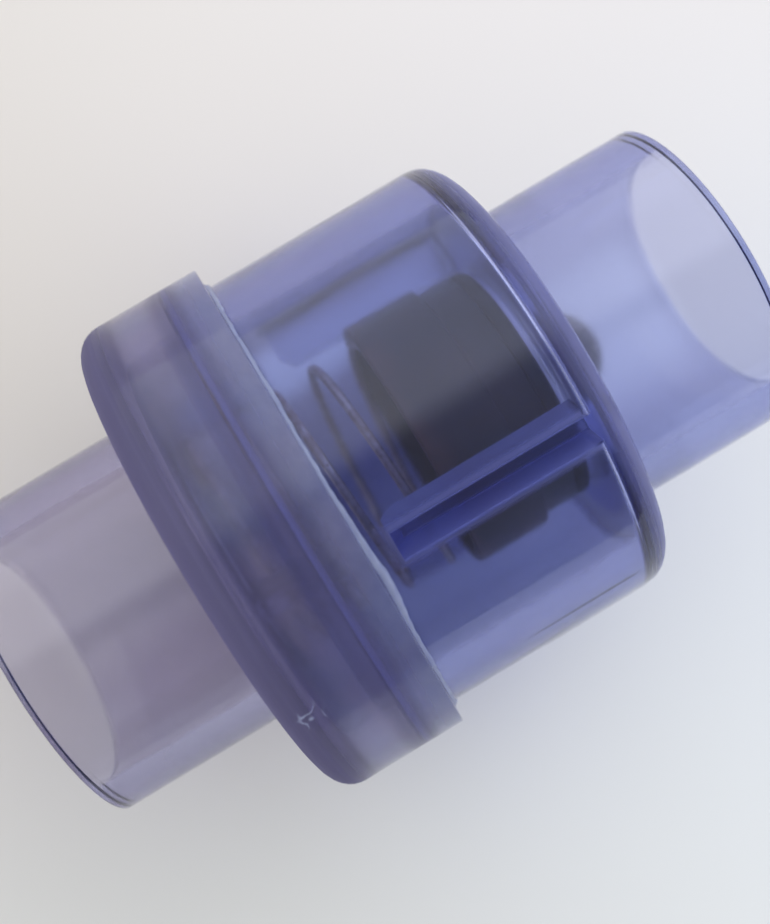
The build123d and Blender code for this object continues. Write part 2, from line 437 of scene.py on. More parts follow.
def add(tree, kind, values=None, **settings):
    """Adds a shader node, sets its options, and fills or links its inputs."""
    node = tree.nodes.new("ShaderNode" + kind)
    for key, value in settings.items():
        setattr(node, key, value)
    for key, value in (values or {}).items():
        socket = node.inputs[key]
        if isinstance(value, bpy.types.NodeSocket):
            tree.links.new(value, socket)
        else:
            socket.default_value = value
    return node


def material(name):
    """A new node material, its tree emptied, with its output and object coordinates."""
    made = bpy.data.materials.new(name)
    made.use_nodes = True
    tree = made.node_tree
    tree.nodes.clear()
    output = tree.nodes.new("ShaderNodeOutputMaterial")
    place = add(tree, "TexCoord").outputs["Object"]
    return made, tree, output, place


def cloud(tree, place, per_metre, detail=3.0, stretch=(1, 1, 1), roughness=0.5):
    """Noise between 0 and 1 with so many waves per metre."""
    mapped = add(tree, "Mapping", {"Vector": place, "Scale": stretch}).outputs["Vector"]
    values = {"Vector": mapped, "Scale": per_metre, "Detail": detail, "Roughness": roughness}
    return add(tree, "TexNoise", values).outputs["Fac"]


def ramp(tree, value, low, high, to_low=0.0, to_high=1.0, smooth=True):
    """Maps a value from one range to another, clamped."""
    kind = "SMOOTHSTEP" if smooth else "LINEAR"
    values = {"Value": value, 1: low, 2: high, 3: to_low, 4: to_high}
    return add(tree, "MapRange", values, interpolation_type=kind).outputs["Result"]


def maths(tree, operation, one, two=0.0):
    return add(tree, "Math", {0: one, 1: two}, operation=operation).outputs["Value"]


def weighted(tree, base, *terms):
    """base plus each (value, weight) term."""
    total = base
    for value, weight in terms:
        total = maths(tree, "ADD", total, maths(tree, "MULTIPLY", value, weight))
    return total


def colour_mix(tree, share, one, two):
    node = add(tree, "Mix", {"Factor": share}, data_type="RGBA")
    for socket, value in ((node.inputs[6], one), (node.inputs[7], two)):
        if isinstance(value, bpy.types.NodeSocket):
            tree.links.new(value, socket)
        else:
            socket.default_value = (*value, 1)
    return node.outputs[2]


def colour_product(tree, one, two):
    values = {"Factor": 1.0, 6: one, 7: two}
    return add(tree, "Mix", values, data_type="RGBA", blend_type="MULTIPLY").outputs[2]


def attribute(tree, name):
    """The share that mark or mark_points gave each point."""
    return add(tree, "Attribute", attribute_name=name).outputs["Fac"]


def straight_for_light(tree, surface, colour):
    """The surface as the eye sees it, and a plain tinted window for the light on other things."""
    rays = add(tree, "LightPath").outputs
    lighting = maths(tree, "MAXIMUM", rays["Is Shadow Ray"], rays["Is Diffuse Ray"])
    window = add(tree, "BsdfTransparent", {"Color": colour}).outputs[0]
    return shader_mix(tree, lighting, surface, window)


def shader_mix(tree, share, one, two):
    node = tree.nodes.new("ShaderNodeMixShader")
    if isinstance(share, bpy.types.NodeSocket):
        tree.links.new(share, node.inputs[0])
    else:
        node.inputs[0].default_value = share
    tree.links.new(one, node.inputs[1])
    tree.links.new(two, node.inputs[2])
    return node.outputs[0]


def bump(tree, height, distance_mm, strength=1.0, onto=None):
    values = {"Height": height, "Distance": distance_mm * MM, "Strength": strength}
    if onto is not None:
        values["Normal"] = onto
    return add(tree, "Bump", values).outputs["Normal"]


# ---------------------------------------------------------------- materials


def mark_on(tree, place, spot, reach_mm):
    """1 on a blemish round a spot in millimetres: thin scratches if it is wide, else a speck."""
    centre = tuple(part * MM for part in spot)
    away = add(tree, "VectorMath", {0: place, 1: centre}, operation="DISTANCE").outputs["Value"]
    near = ramp(tree, away, 0.5 * reach_mm * MM, reach_mm * MM, 1.0, 0.0)
    if reach_mm < 1:
        return near
    wander = maths(tree, "ABSOLUTE", maths(tree, "SUBTRACT", cloud(tree, place, 260, 1), 0.5))
    return maths(tree, "MULTIPLY", near, ramp(tree, wander, 0.004, 0.03, 1.0, 0.0))


def clean_glass(tree, place, facing, fine, film, graze, frost_roughness):
    """The clear surface of a shell, and its tint.

    The point attribute "frost" is how frosted the mould left it, "smoke" how much of the film of
    grime it has, and "blush" how stained it is.
    """
    blotches = ramp(tree, cloud(tree, place, 42, 4, roughness=0.6), 0.35, 0.65)
    stained = colour_mix(tree, blotches, BLUSH, BLUSH_DEEP)
    clean = colour_mix(tree, attribute(tree, "blush"), (1, 1, 1), stained)
    at_a_slant = tuple(graze * part for part in film)
    grime = colour_mix(tree, ramp(tree, facing, 0.15, 0.5), film, at_a_slant)
    tint = colour_mix(tree, attribute(tree, "smoke"), clean, grime)
    smudge = ramp(tree, cloud(tree, place, 55, 4), 0.45, 0.75, 0.015, 0.07)
    frosted = ramp(tree, fine, 0.3, 0.7, frost_roughness * 0.8, frost_roughness)
    values = {"Factor": attribute(tree, "frost"), 2: smudge, 3: frosted}
    roughness = add(tree, "Mix", values).outputs[0]
    flow = cloud(tree, place, 70, 2, stretch=(0.5, 1, 1))
    normal = bump(tree, flow, 0.15, 0.5)
    normal = bump(tree, fine, 0.01, 0.3, normal)
    glass = add(tree, "BsdfPrincipled", {
        "Base Color": tint, "Roughness": roughness, "IOR": PVC_IOR,
        "Transmission Weight": 1.0, "Normal": normal,
    }).outputs[0]
    return glass, tint


def milkiness(tree, place, haze, veil_colour, marks):
    """What scatters light at the surface of a shell, and how much of the surface it covers.

    The point attribute "veil" is how milky the surface is, "pale" picks the light kind of veil, and
    "thick" is 1 where the full haze of the plastic shows. On the lit side of the chamber's topmost
    rib the pale veil is a painted highlight.
    """
    veil = attribute(tree, "veil")
    hue = ramp(tree, cloud(tree, place, 65, 3), 0.35, 0.65)
    patchy = colour_mix(tree, hue, (0.46, 0.54, 0.88), (0.58, 0.53, 0.78))
    veiled = colour_mix(tree, attribute(tree, "pale"), veil_colour, (0.56, 0.57, 0.74))
    colour = colour_mix(tree, ramp(tree, veil, 0.0, 0.3), patchy, veiled)
    dull = add(tree, "BsdfDiffuse", {"Color": colour}).outputs[0]
    glow = add(tree, "BsdfTranslucent", {"Color": colour}).outputs[0]
    milk = shader_mix(tree, 0.5, dull, glow)
    cover = ramp(tree, cloud(tree, place, 30, 3), 0.3, 0.7, haze * 0.6, haze * 1.4)
    fullness = ramp(tree, attribute(tree, "thick"), 0.0, 1.0, 0.25, 1.0)
    cover = maths(tree, "MAXIMUM", maths(tree, "MULTIPLY", cover, fullness), veil)
    for spot, reach_mm, shade in marks:
        here = mark_on(tree, place, spot, reach_mm)
        blot = add(tree, "BsdfDiffuse", {"Color": (*shade, 1)}).outputs[0]
        milk = shader_mix(tree, here, milk, blot)
        cover = maths(tree, "MAXIMUM", cover, maths(tree, "MULTIPLY", here, MARK_COVER))
    return milk, cover


def clear_pvc(name, absorb_per_mm, haze, frost_roughness, film, graze, veil_colour, marks=()):
    """Tinted clear PVC: light is lost with the length it travels inside, so thick edges go dark.

    The point attribute "bond" is 1 where the surface is bonded to cement, so that it has no
    reflection there, and in between where it lets part of the light straight through.
    """
    made, tree, output, place = material(name)
    facing = add(tree, "LayerWeight", {"Blend": 0.5}).outputs["Facing"]
    fine = cloud(tree, place, 900, 2)
    glass, tint = clean_glass(tree, place, facing, fine, film, graze, frost_roughness)
    milk, cover = milkiness(tree, place, haze, veil_colour, marks)
    body = shader_mix(tree, cover, glass, milk)
    grazing = maths(tree, "POWER", facing, 2.5)
    dimmed = colour_mix(tree, grazing, tint, (0.3, 0.3, 0.35))
    handed_on = colour_product(tree, dimmed, (OPEN_WAY, OPEN_WAY, OPEN_WAY, 1))
    surface = straight_for_light(tree, body, handed_on)
    through = add(tree, "BsdfTransparent", {"Color": (1, 1, 1, 1)}).outputs[0]
    surface = shader_mix(tree, attribute(tree, "bond"), surface, through)
    tree.links.new(surface, output.inputs["Surface"])
    density = max(absorb_per_mm) * 1.25 / MM
    kept = tuple(1 - a / MM / density for a in absorb_per_mm)
    fog = add(tree, "VolumeAbsorption", {"Color": (*kept, 1), "Density": density})
    tree.links.new(fog.outputs[0], output.inputs["Volume"])
    return made


def chamber_pvc():
    """The chamber half's plastic: clear, with a violet film of grime on its inside."""
    return clear_pvc(
        "chamber_pvc", absorb_per_mm=(0.074, 0.068, 0.027), haze=0.04, frost_roughness=0.4,
        film=(0.51, 0.556, 0.731), graze=0.7, veil_colour=(0.25, 0.26, 0.5),
    )


def outlet_pvc():
    """The outlet half's plastic: hazier and a little greyer, with blemishes on its collar."""
    return clear_pvc(
        "cap_pvc", absorb_per_mm=(0.061, 0.064, 0.037), haze=0.12, frost_roughness=0.45,
        film=(0.53, 0.58, 0.8), graze=0.4, veil_colour=(0.2, 0.19, 0.34), marks=COLLAR_MARKS,
    )


def cured_cement(name):
    """Solvent cement: a nearly clear film, and milky where the point attribute "bead" is 1."""
    made, tree, output, place = material(name)
    lumps = cloud(tree, place, 420, 4)
    normal = bump(tree, lumps, 0.35, 0.7)
    tint = colour_mix(tree, lumps, (0.3, 0.34, 0.58), (0.66, 0.74, 0.95))
    gloss = add(tree, "BsdfPrincipled", {
        "Base Color": tint, "Roughness": 0.22, "IOR": 1.5, "Transmission Weight": 0.6,
        "Normal": normal,
    }).outputs[0]
    glow = add(tree, "BsdfTranslucent", {"Color": (0.5, 0.56, 0.8, 1)}).outputs[0]
    milky = shader_mix(tree, 0.25, gloss, glow)
    clear = add(tree, "BsdfTransparent", {"Color": (0.97, 0.97, 0.99, 1)}).outputs[0]
    streaks = cloud(tree, place, 160, 5, stretch=(0.6, 1, 1), roughness=0.65)
    film = ramp(tree, streaks, 0.42, 0.72, 0.0, 0.06)
    share = add(tree, "Mix", {"Factor": attribute(tree, "bead"), 2: film, 3: 1.0}).outputs[0]
    surface = shader_mix(tree, share, clear, milky)
    surface = straight_for_light(tree, surface, (0.75, 0.77, 0.85, 1))
    tree.links.new(surface, output.inputs["Surface"])
    return made


def black_plastic(name, rusty_from=None, lighter=1.0):
    """Black moulded plastic, satin, with a rusty deposit near the spring's end if it has one."""
    made, tree, output, place = material(name)
    grain = cloud(tree, place, 1600, 3)
    swirl = cloud(tree, place, 90, 4, roughness=0.6)
    dark = tuple(lighter * part for part in (0.012, 0.012, 0.014))
    light = tuple(lighter * part for part in (0.03, 0.03, 0.034))
    colour = colour_mix(tree, swirl, dark, light)
    if rusty_from is not None:
        x = add(tree, "SeparateXYZ", {"Vector": place}).outputs["X"]
        near_rim = ramp(tree, x, rusty_from * MM, (rusty_from + RUST_LENGTH) * MM, 1.0, 0.0)
        rust = maths(tree, "MULTIPLY", near_rim, ramp(tree, swirl, 0.35, 0.65))
        colour = colour_mix(tree, rust, colour, (0.11, 0.055, 0.035))
    roughness = ramp(tree, grain, 0.3, 0.7, 0.32, 0.46)
    normal = bump(tree, grain, 0.012, 0.3)
    skin = add(tree, "BsdfPrincipled", {
        "Base Color": colour, "Roughness": roughness, "IOR": 1.49, "Normal": normal,
    }).outputs[0]
    tree.links.new(skin, output.inputs["Surface"])
    return made


def black_rubber(name):
    """Nitrile rubber: matt black with fine grain and a dusty bloom."""
    made, tree, output, place = material(name)
    grain = cloud(tree, place, 2400, 4)
    bloom = ramp(tree, cloud(tree, place, 120, 5, roughness=0.7), 0.5, 0.8)
    colour = colour_mix(tree, bloom, (0.014, 0.014, 0.016), (0.045, 0.045, 0.05))
    normal = bump(tree, grain, 0.05, 0.6)
    skin = add(tree, "BsdfPrincipled", {
        "Base Color": colour, "Roughness": 0.62, "IOR": 1.5, "Normal": normal,
    }).outputs[0]
    tree.links.new(skin, output.inputs["Surface"])
    return made


def spring_wire(name):
    """Drawn spring steel with die lines along the wire and brown tarnish in patches."""
    made, tree, output, place = material(name)
    tarnish = ramp(tree, cloud(tree, place, 210, 5, roughness=0.7), 0.35, 0.7)
    speck = ramp(tree, cloud(tree, place, 1500, 3), 0.55, 0.75)
    steel = colour_mix(tree, tarnish, (0.55, 0.5, 0.47), (0.3, 0.2, 0.16))
    colour = colour_mix(tree, speck, steel, (0.2, 0.11, 0.08))
    metal = maths(tree, "SUBTRACT", 1.0, maths(tree, "MULTIPLY", tarnish, 0.7))
    roughness = ramp(tree, tarnish, 0.0, 1.0, 0.3, 0.62)
    lines = cloud(tree, place, 2600, 2)
    normal = bump(tree, lines, 0.02, 0.5)
    skin = add(tree, "BsdfPrincipled", {
        "Base Color": colour, "Metallic": metal, "Roughness": roughness, "Normal": normal,
    }).outputs[0]
    tree.links.new(skin, output.inputs["Surface"])
    return made


def stainless(name):
    """Plain stainless steel with turned marks round the axis."""
    made, tree, output, place = material(name)
    parts = add(tree, "SeparateXYZ", {"Vector": place}).outputs
    out = maths(tree, "SQRT", maths(tree, "ADD", maths(tree, "POWER", parts["Y"], 2.0),
                                    maths(tree, "POWER", parts["Z"], 2.0)))
    rings = maths(tree, "SINE", maths(tree, "MULTIPLY", out, 24000.0))
    grime = cloud(tree, place, 500, 4)
    colour = colour_mix(tree, grime, (0.62, 0.61, 0.6), (0.42, 0.4, 0.38))
    normal = bump(tree, rings, 0.01, 0.4)
    skin = add(tree, "BsdfPrincipled", {
        "Base Color": colour, "Metallic": 1.0, "Roughness": ramp(tree, grime, 0.3, 0.7, 0.22, 0.38),
        "Normal": normal,
    }).outputs[0]
    tree.links.new(skin, output.inputs["Surface"])
    return made


# ---------------------------------------------------------------- clear shells


def pipe_end(tip, inward):
    """Corners of a double pipe end from its stop out to its tip and back along the outside."""
    return [
        (tip + inward * SOCKET_DEPTH, PORT_R, 0.4),
        (tip + inward * SOCKET_DEPTH, SOCKET_STOP_R, 0.6),
        (tip + inward * SOCKET_STRAIGHT, SOCKET_R, 0),
        (tip, SOCKET_R, 0.35),
        (tip, SPIGOT_R, 0.35),
        (tip + inward * TUBE_LENGTH, SPIGOT_R, 0.9),
    ]


def rib_sections():
    """Sections of a guide rib: its free end slopes, and the rest runs on into the end wall."""
    sections = []
    for k in range(RIB_LEAD_STEPS + 1):
        share = k / RIB_LEAD_STEPS
        inner = RIB_INNER_R + RIB_LEAD * (1 - math.sin(share * QUARTER_TURN))
        sections.append((RIB_START + RIB_LEAD * share, rib_outline(inner)))
    straight_from = RIB_START + RIB_LEAD
    straight = WALL_INSIDE + RIB_SUNK - straight_from
    for k in range(1, RIB_STEPS + 1):
        sections.append((straight_from + straight * k / RIB_STEPS, rib_outline(RIB_INNER_R)))
    return sections


def rib_outline(inner):
    """Cross-section of a rib as (across, out) points: a rounded tip and a flared root."""
    half_tip, half_root = RIB_TIP_WIDTH / 2, RIB_ROOT_WIDTH / 2
    round_across, round_out = half_tip - RIB_ROUND, inner + RIB_ROUND
    side = []
    for k in range(RIB_CORNER_STEPS + 1):
        angle = k / RIB_CORNER_STEPS * QUARTER_TURN
        across = round_across + RIB_ROUND * math.sin(angle)
        side.append((across, round_out - RIB_ROUND * math.cos(angle)))
    side.append((half_root, CHAMBER_BORE_R - RIB_FLARE))
    for k in range(1, RIB_CORNER_STEPS + 1):
        angle = k / RIB_CORNER_STEPS * QUARTER_TURN
        across = half_root + RIB_FLARE * (1 - math.cos(angle))
        side.append((across, CHAMBER_BORE_R - RIB_FLARE * (1 - math.sin(angle))))
    side.append((half_root + RIB_FLARE, CHAMBER_BORE_R + RIB_SUNK))
    return side + [(-across, out) for across, out in reversed(side)]


def fin_sections():
    """Sections of a stop fin on the outlet web, its top edges rounded off in two steps."""
    sections = []
    steps = ((WEB_INSIDE - RIB_SUNK, 0), (FIN_TOP - 0.6, 0), (FIN_TOP - 0.15, 0.15), (FIN_TOP, 0.5))
    for x, shrink in steps:
        half = FIN_WIDTH / 2 - shrink
        low, high = SPRING_RIM_R + shrink, FIN_OUTER_R - shrink
        sections.append((x, [(half, low), (half, high), (-half, high), (-half, low)]))
    return sections


def in_chamber(x, r):
    """Whether a point is on the chamber's inside, its ribs or the inside of the end wall."""
    return x < WALL_INSIDE + 0.1 and r < CHAMBER_BORE_R + 1.2


def in_collar(x, r):
    """Whether a point is on the hidden inside of the collar."""
    return x > WEB_INSIDE - 0.1 and r < COLLAR_BORE_R + 0.1


def in_socket(r):
    """Whether a radius is that of a tube's bore, and not of what lies round it."""
    return r < SOCKET_R + 1


def chamber_frost(x, r):
    """How frosted the chamber half is: most on its hidden end, its ribs and its end wall."""
    if x < CHAMBER_END + 0.5:
        return 1.0
    if x > INLET_END - 0.5:
        return 0.2
    if in_chamber(x, r):
        return 0.3 if r > CHAMBER_BORE_R - 0.7 else 0.9
    if x < CHAMBER_FACE + 12 and in_socket(r):
        return 0.6
    return 0.1 if in_socket(r) else 0.0


def outlet_frost(x, r):
    """How frosted the outlet half is: most inside the collar, and not at all outside its tube."""
    if in_collar(x, r):
        return 0.5
    if x < OUTLET_END + 0.5:
        return 0.2
    if on_collar(x, r):
        return 0.22
    return 0.1 if in_socket(r) else 0.0


def on_collar(x, r):
    """Whether a point is on the collar and not on the outlet tube."""
    return x > COLLAR_FACE - 0.5 and r > SPIGOT_R + 2


def share_of(value):
    """The value, kept between 0 and 1."""
    return max(0.0, min(1.0, value))


def corner_veil(x, r):
    """How milky the chamber's rounded outer corner is: most at its middle."""
    if x > CHAMBER_FACE + 0.3:
        return 0.0
    along = (x - CHAMBER_FACE) / SHELL_ROUND + 1
    out = (r - CHAMBER_R) / SHELL_ROUND + 1
    return CORNER_VEIL * share_of(1.7 * min(along, out))


def collar_veil(x, r):
    """How milky the collar's outside is: most near its outlet end, and a little over the joint."""
    outside = r > COLLAR_R - SHELL_ROUND or x < COLLAR_FACE + 0.3
    if not outside or r < SPIGOT_R + 2:
        return 0.0
    near_face = share_of((9.5 - (x - COLLAR_FACE)) / 6)
    over_joint = share_of(1.7 - abs(x - SHOULDER) / 2.5)
    return max(COLLAR_VEIL * near_face, JOINT_VEIL * over_joint)


def lower_rim(from_tip, z):
    """How far the lower half of a tube's rim lets light straight through, as a clean edge does."""
    return share_of(-z / 20) if from_tip < 0.4 else 0.0


def on_rib(co, angle):
    """Whether a point is on the rib at an angle, and whether it is on the flare at its root."""
    x, r = co.x / MM, radius_of(co)
    off = (angle_of(co) - angle + 180) % 360 - 180
    along = RIB_START - 0.1 < x < WALL_INSIDE - 0.3
    rib = along and abs(off) < 7 and r < CHAMBER_BORE_R - 1.2
    flare = along and abs(off) < 5.7 and CHAMBER_BORE_R - 1.2 <= r < CHAMBER_BORE_R + 0.02
    return rib, flare


def chamber_veil(co):
    """How milky the chamber half is: on its rounded corner, its topmost rib and its hidden end."""
    x, r = co.x / MM, radius_of(co)
    if hidden_lip(x, r):
        return LIP_VEIL
    if any(on_rib(co, FIRST_SPOKE)):
        return RIB_VEIL
    return corner_veil(x, r)


def chamber_pale_and_painted_highlight(co):
    """Where that milkiness is pale: on the lit side of the topmost rib, where the pale veil is a
    painted highlight, on its flares, and on the hidden end.
    """
    rib, flare = on_rib(co, FIRST_SPOKE)
    # painted highlight: the side of the topmost rib that faces the light gets the pale veil
    lit = rib and angle_of(co) < FIRST_SPOKE
    return lit or flare or hidden_lip(co.x / MM, radius_of(co))


def hidden_lip(x, r):
    """Whether a point is on the chamber's open end, where cement has run over it."""
    return x < CHAMBER_END + 1.05 and CHAMBER_BORE_R - 0.1 < r < COLLAR_BORE_R + 0.5


def chamber_bond(co):
    """Where the chamber half is bonded, or so thin or clear that light goes straight through."""
    x, r = co.x / MM, radius_of(co)
    glued_side = r > CHAMBER_R - 0.02 and x < SEAM + 0.01
    glued_end = x < CHAMBER_END + 0.4 and r > COLLAR_BORE_R - 0.1
    if glued_side or glued_end:
        return 1.0
    if any(any(on_rib(co, angle)) for angle in SPOKE_ANGLES[1:]):
        return LOWER_RIB_BOND
    return lower_rim(INLET_END - x, co.z / MM)


def outlet_bond(x, r, z):
    """Where the outlet half is bonded, or so clear that light goes straight through."""
    if x > SHOULDER - 0.25 and COLLAR_BORE_R - 0.01 < r < FILM_R + 0.01:
        return 1.0
    return lower_rim(x - OUTLET_END, z)


def chamber_shell():
    """The chamber half: inlet end, end wall with its seat ridge, chamber and guide ribs."""
    corners = pipe_end(INLET_END, -1) + [
        (CHAMBER_FACE, CHAMBER_R, SHELL_ROUND),
        (SEAM, CHAMBER_R, 0),
        (CHAMBER_END, CHAMBER_R, 0.3),
        (CHAMBER_END, CHAMBER_BORE_R, 1.0),
        (WALL_INSIDE, CHAMBER_BORE_R, 1.4),
        (WALL_INSIDE, SEAT_R + SEAT_BASE_HALF, 0.3),
        (SEAT_TOP, SEAT_R + SEAT_TOP_HALF, 0.5),
        (SEAT_TOP, SEAT_R - SEAT_TOP_HALF, 0.5),
        (WALL_INSIDE, PORT_R, 0.2),
    ]
    shell = lathe("chamber_clear", refined(rounded(corners)))
    ribs = [spoke_bar("rib", angle, rib_sections()) for angle in SPOKE_ANGLES]
    combine(shell, joined("ribs", ribs), "UNION")
    ripple(shell, 0.05, 14, lambda x, r: 1.0 if x > SEAM + 2 and r > 25 else 0.0)
    parting_line(shell, PARTING_START, CHAMBER_FACE - SHELL_ROUND, CHAMBER_R)
    mark_points(shell, "bond", chamber_bond)
    mark(shell, "frost", lambda x, r, z: chamber_frost(x, r))
    mark(shell, "smoke", lambda x, r, z: in_chamber(x, r) * (0.8 if x > SEAM else 1.0))
    mark(shell, "thick", lambda x, r, z: x < CHAMBER_FACE + 0.5 and r > CHAMBER_BORE_R + 1)
    mark_points(shell, "veil", chamber_veil)
    mark_points(shell, "pale", chamber_pale_and_painted_highlight)
    return shell


def outlet_shell():
    """The outlet half: collar with its joint socket, web with the spring's rim and fins, tube."""
    corners = pipe_end(OUTLET_END, 1) + [
        (COLLAR_FACE, COLLAR_R, SHELL_ROUND),
        (SEAM, COLLAR_R, 0.35),
        (SEAM, FILM_R, 0),
        (SHOULDER, FILM_R, 0),
        (SHOULDER, COLLAR_BORE_R, 0.2),
        (WEB_INSIDE, COLLAR_BORE_R, 3.2),
        (WEB_INSIDE, SPRING_RIM_R + SPRING_RIM_THICKNESS, 0.5),
        (WEB_INSIDE + SPRING_RIM_HEIGHT, SPRING_RIM_R + SPRING_RIM_THICKNESS, 0.4),
        (WEB_INSIDE + SPRING_RIM_HEIGHT, SPRING_RIM_R, 0.4),
        (WEB_INSIDE, SPRING_RIM_R, 0.3),
        (WEB_INSIDE, PORT_R, 0.4),
    ]
    shell = lathe("outlet_clear", refined(rounded(corners)))
    fins = [spoke_bar("fin", angle, fin_sections()) for angle in SPOKE_ANGLES]
    combine(shell, joined("fins", fins), "UNION")
    ripple(shell, 0.06, 16, lambda x, r: 1.0 if x < SHOULDER - 1 or r > CHAMBER_R + 1 else 0.0)
    mark(shell, "bond", outlet_bond)
    mark(shell, "frost", lambda x, r, z: outlet_frost(x, r))
    mark(shell, "smoke", lambda x, r, z: in_collar(x, r))
    mark(shell, "blush", lambda x, r, z: x < COLLAR_FACE and in_socket(r))
    mark(shell, "thick", lambda x, r, z: on_collar(x, r))
    mark(shell, "veil", lambda x, r, z: collar_veil(x, r))
    return shell


def cement_seam():
    """The film between the halves and the uneven bead that squeezed out along the collar's face."""
    film_end = SHOULDER + 0.2
    outline = [(SHOULDER, COLLAR_BORE_R), (film_end, COLLAR_BORE_R), (film_end, FILM_INNER_R)]
    outline.append((SEAM, FILM_INNER_R))
    for k in range(BEAD_STEPS + 1):
        angle = k / BEAD_STEPS * QUARTER_TURN
        x = SEAM + (BEAD_END - SEAM) * math.cos(angle)
        outline.append((x, FILM_INNER_R + BEAD_HEIGHT * math.sin(angle)))
    outline += [(SEAM + 0.02, FILM_R), (SHOULDER, FILM_R)]
    seam = lathe("outer_cement", outline, segments=ROUND_SEGMENTS * 2)
    for v in seam.data.vertices:
        x = v.co.x / MM
        if x > SEAM + 0.03:
            swell = bead_swell(angle_of(v.co))
            v.co.x = (SEAM + (x - SEAM) * swell) * MM
            push_out(v.co, (radius_of(v.co) - CHAMBER_R) * (swell - 1))
    seam = joined("cement_seam", [seam, inner_cement()])
    mark(seam, "bead", lambda x, r, z: 1.0 if x > SEAM + 0.01 else 0.25 * (x < SHOULDER - 0.1))
    return seam


def bead_swell(angle):
    """How thick the bead is at an angle: uneven, with a lump beside the topmost rib."""
    walk = Vector((math.cos(math.radians(angle)), math.sin(math.radians(angle)), 0))
    swell = 0.5 + 0.18 * noise.noise(walk * 5) + 0.1 * noise.noise(walk * 23)
    swell += 0.55 * math.exp(-(((angle - 20) / 9) ** 2))
    return max(0.3, min(1.1, swell))


def inner_cement():
    """The ring of cement that squeezed out inside, over the chamber's hidden end."""
    low_r, high_r = CHAMBER_BORE_R + 0.3, COLLAR_BORE_R - 0.02
    start = SHOULDER - 0.02
    outline = [(start, high_r)]
    for k in range(INNER_RING_STEPS + 1):
        share = k / INNER_RING_STEPS
        rise = (high_r - 0.05 - low_r) * math.sin(share * QUARTER_TURN)
        outline.append((start - INNER_RING_LENGTH * share, low_r + rise))
    ring = lathe("inner_cement", outline)
    ripple(ring, 0.5, 9, lambda x, r: 1.0 if low_r < r < high_r - 0.3 else 0.0)
    return ring


# ---------------------------------------------------------------- poppet and spring


def poppet_cup():
    """The black cup: a wide guide skirt behind, a narrower front, and a ledge for the spring."""
    floor_inside = CUP_FACE - CUP_FLOOR
    corners = [
        (CUP_RIM, CUP_POCKET_R, 0.4),
        (CUP_RIM, CUP_R, 0.5),
        (CUP_STEP, CUP_R, 0.5),
        (CUP_STEP, DISC_R, 0.3),
        (CUP_FACE, DISC_R, 0.4),
        (CUP_FACE, NECK_HOLE_R, 0.1),
        (floor_inside, NECK_HOLE_R, 0.1),
        (floor_inside, CUP_CORE_R, 1.0),
        (SPRING_LEDGE, CUP_CORE_R, 0.3),
        (SPRING_LEDGE, CUP_POCKET_R, 0.2),
    ]
    return lathe("cup", refined(rounded(corners, 5)), CUP_SEGMENTS)


def rubber_disc():
    """The rubber disc that shuts on the seat, rounded at its edge."""
    corners = [
        (CUP_FACE, NECK_HOLE_R, 0.1),
        (CUP_FACE, DISC_R, 0.3),
        (SEAT_TOP, DISC_R, DISC_ROUND),
        (SEAT_TOP, NECK_HOLE_R, 0.1),
    ]
    return lathe("rubber_disc", refined(rounded(corners, 7)), CUP_SEGMENTS)


def nose_retainer():
    """Flange, rounded nose and neck that hold the disc on the cup."""
    hole_end = NECK_END + NOSE_HOLE_DEPTH
    front = SEAT_TOP + FLANGE_THICKNESS
    outline = [
        (hole_end, 0), (hole_end, SCREW_R), (NECK_END, SCREW_R), (NECK_END, NECK_R),
        (SEAT_TOP, NECK_R), (SEAT_TOP, FLANGE_R), (front - 0.6, FLANGE_R),
        (front - 0.15, FLANGE_R - 0.3), (front, FLANGE_R - 0.9), (front, NOSE_ROOT_R + 1.2),
        (front + 0.4, NOSE_ROOT_R + 0.3), (front + 1.2, NOSE_ROOT_R - 0.3),
    ]
    for k in range(NOSE_STEPS):
        angle = k / NOSE_STEPS * QUARTER_TURN
        outline.append((NOSE_TIP - NOSE_R + NOSE_R * math.sin(angle), NOSE_R * math.cos(angle)))
    outline.append((NOSE_TIP, 0))
    return lathe("nose_retainer", outline, SMALL_SEGMENTS, closed=False)


def washer():
    """The plain washer under the screw's head."""
    corners = [
        (WASHER_BACK, WASHER_HOLE_R, 0.1),
        (WASHER_BACK, WASHER_R, 0.2),
        (WASHER_FACE, WASHER_R, 0.1),
        (WASHER_FACE, WASHER_HOLE_R, 0.1),
    ]
    return lathe("washer", refined(rounded(corners, 4)), SMALL_SEGMENTS)


def screw():
    """Pan-head screw with a cross recess and a threaded shank."""
    outline = [(SCREW_BACK, 0)]
    for k in range(1, SCREW_DOME_STEPS + 1):
        angle = k / SCREW_DOME_STEPS * QUARTER_TURN
        x = SCREW_BACK + SCREW_DOME * (1 - math.cos(angle))
        outline.append((x, SCREW_HEAD_R * math.sin(angle) ** 0.8))
    crest_r = SCREW_R - 0.02
    outline += [(WASHER_BACK, SCREW_HEAD_R), (WASHER_BACK, crest_r)]
    x = WASHER_FACE + 0.4
    while x < SCREW_POINT - 1.2:
        outline += [(x, crest_r), (x + THREAD_PITCH / 2, SCREW_R - THREAD_DEPTH)]
        x += THREAD_PITCH
    outline += [(SCREW_POINT - 0.4, SCREW_R - 0.5), (SCREW_POINT, SCREW_R - 1.2), (SCREW_POINT, 0)]
    made = lathe("screw", outline, SMALL_SEGMENTS // 2, closed=False)
    sizes = (RECESS_HALF_LENGTH, RECESS_HALF_WIDTH)
    for y, z in (sizes, sizes[::-1]):
        section = [(-y, -z), (y, -z), (y, z), (-y, z)]
        tapered = [(a * RECESS_TAPER, b * RECESS_TAPER) for a, b in section]
        ends = [(SCREW_BACK - 0.5, section), (SCREW_BACK + RECESS_DEPTH, tapered)]
        combine(made, spoke_bar("arm", 0, ends), "DIFFERENCE")
    return made


